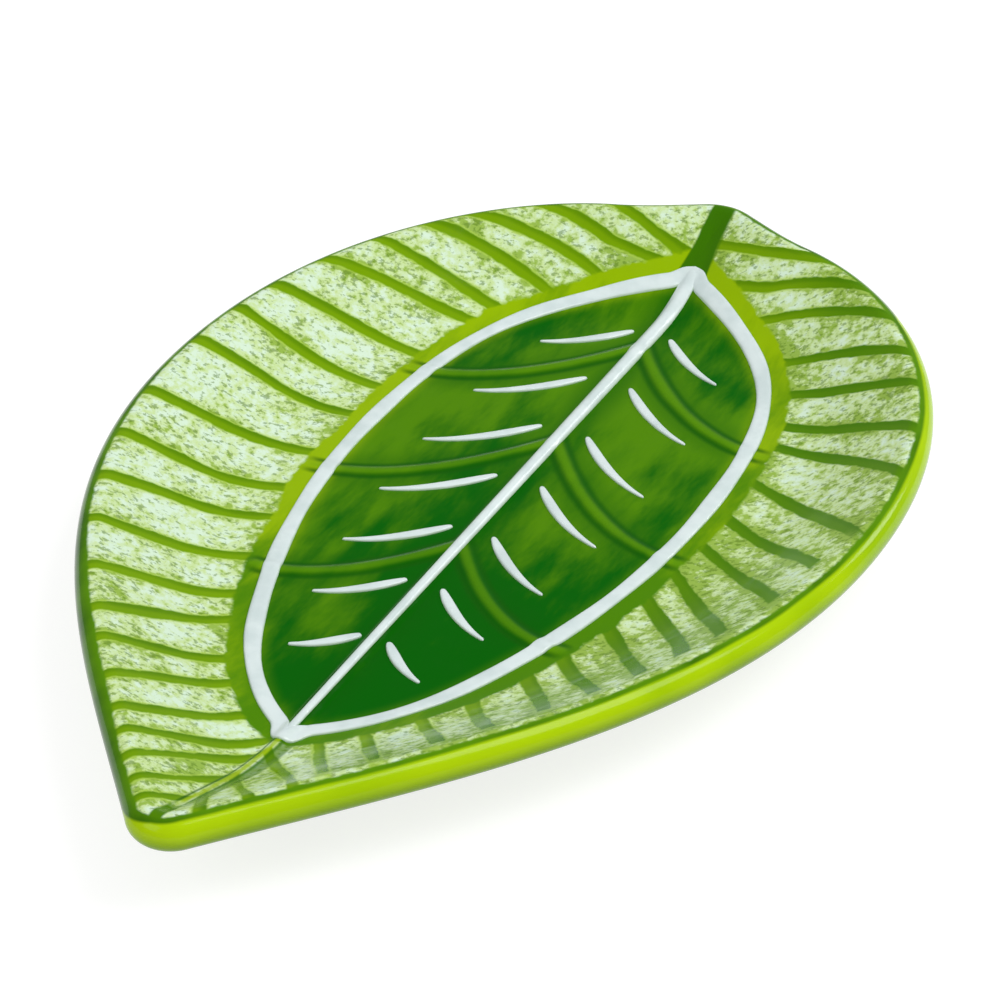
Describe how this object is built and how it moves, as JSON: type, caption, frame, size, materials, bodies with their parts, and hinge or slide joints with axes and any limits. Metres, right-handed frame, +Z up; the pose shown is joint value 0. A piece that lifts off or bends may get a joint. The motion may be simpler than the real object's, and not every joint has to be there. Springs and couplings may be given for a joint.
{
  "type": "leaf shaped plate",
  "caption": "Shallow leaf shaped ceramic plate with a round lip, sloping wall, embossed midrib and side veins, foot ring and raised white slip lines.",
  "frame": {"origin": "on the table, below the middle of the plate's length and width", "axes": "+X along the leaf from its tip to its stem end, +Z up out of the dish, +Y across the leaf"},
  "size_m": [0.2508, 0.1588, 0.0214],
  "materials": {
    "clay": "fired earthenware under glaze",
    "bare_clay": "matt bare clay",
    "lime_glaze": "glossy",
    "dark_glaze": "glossy",
    "ground_glaze": "glossy, white sponged with green",
    "leaf_glaze": "glossy",
    "stripe_glaze": "glossy, brushed",
    "white_slip": "glossy"
  },
  "bodies": {
    "root": {"clay_body": "clay", "foot_ring": "bare_clay", "outside_glaze": "lime_glaze", "base_glaze": "lime_glaze", "lip_band_glaze": "dark_glaze", "border_ground_glaze": "ground_glaze", "leaf_field_glaze": "leaf_glaze", "vein_glaze": "leaf_glaze", "midrib_glaze": "lime_glaze", "border_stripes": "stripe_glaze", "stem_stroke": "dark_glaze", "leaf_outline_trail": "white_slip", "leaf_midrib_trail": "white_slip", "leaf_vein_trails": "white_slip"}
  },
  "joints": []
}
